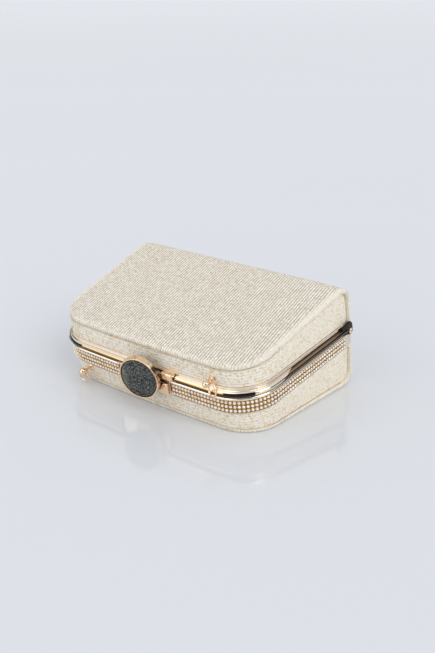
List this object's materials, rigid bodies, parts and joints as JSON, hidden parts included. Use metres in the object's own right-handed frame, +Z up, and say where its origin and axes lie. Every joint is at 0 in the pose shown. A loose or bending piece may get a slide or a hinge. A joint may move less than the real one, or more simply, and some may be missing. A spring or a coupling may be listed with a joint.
{
  "type": "box clutch evening bag",
  "caption": "Wedge-sided hard-shell box clutch in ribbed metallic fabric with a gold frame, crystal trim, a round pave knob clasp and two hanging chain rings.",
  "frame": {"origin": "centre of the bounding box on the plane the bag rests on, under the middle of the lower panel", "axes": "+X along the width to the wearer's right of the clasp seen from the front, +Y from the clasp to the rear hinge, +Z up from the lower panel"},
  "size_m": [0.1838, 0.128, 0.0735],
  "materials": {
    "ivory_lurex_fabric": "ribbed ivory cloth with fine silver and gold metallic threads",
    "champagne_satin_lining": "plain satin lining",
    "light_gold_plate": "polished light gold plating",
    "rose_gold_plate": "polished rose gold plating",
    "crystal_in_gold_cups": "clear faceted stones set in gold cups",
    "grey_caviar_beads": "dark grey-green fine beads in rings",
    "spring_steel": "plain steel"
  },
  "bodies": {
    "lower_half": {"lower_cover": "ivory_lurex_fabric", "lower_side_wall": "ivory_lurex_fabric", "lower_lining": "champagne_satin_lining", "lower_frame": "light_gold_plate", "crystal_strip_right": "crystal_in_gold_cups", "crystal_strip_left": "crystal_in_gold_cups", "keeper_plate": "rose_gold_plate", "hinge_rivet_right": "rose_gold_plate", "hinge_rivet_left": "rose_gold_plate", "ring_post_left": "rose_gold_plate"},
    "upper_half": {"upper_cover": "ivory_lurex_fabric", "upper_side_wall": "ivory_lurex_fabric", "upper_lining": "champagne_satin_lining", "upper_frame": "light_gold_plate", "clasp_housing": "rose_gold_plate", "clasp_pin": "spring_steel", "clasp_spring": "spring_steel", "ring_post_right": "rose_gold_plate", "back_hinge_cloth": "champagne_satin_lining"},
    "clasp": {"clasp_lever": "rose_gold_plate", "knob_bezel": "rose_gold_plate", "knob_face": "grey_caviar_beads", "knob_stem": "rose_gold_plate"},
    "ring_left": {"ring_left": "rose_gold_plate"},
    "ring_right": {"ring_right": "rose_gold_plate"}
  },
  "joints": [
    {"name": "lid_hinge", "type": "hinge", "parent": "lower_half", "child": "upper_half", "pos_m": [0, 0.05707, 0.04163], "axis": [-1, 0, 0], "range_deg": [0, 62], "deforming": ["back_hinge_cloth"]},
    {"name": "clasp_rock", "type": "hinge", "parent": "upper_half", "child": "clasp", "pos_m": [0.006, -0.05381, 0.03026], "axis": [-1, 0, 0], "range_deg": [0, 9], "stiffness_Nm_per_rad": 0.3, "springref_deg": -5.73},
    {"name": "ring_left_swing", "type": "hinge", "parent": "lower_half", "child": "ring_left", "pos_m": [-0.056, -0.0505, 0.01164], "axis": [0, 0.9911, 0.1331], "range_deg": [-75, 75]},
    {"name": "ring_right_swing", "type": "hinge", "parent": "upper_half", "child": "ring_right", "pos_m": [0.057, -0.05504, 0.03565], "axis": [0, 0.9911, 0.1331], "range_deg": [-75, 75]}
  ]
}
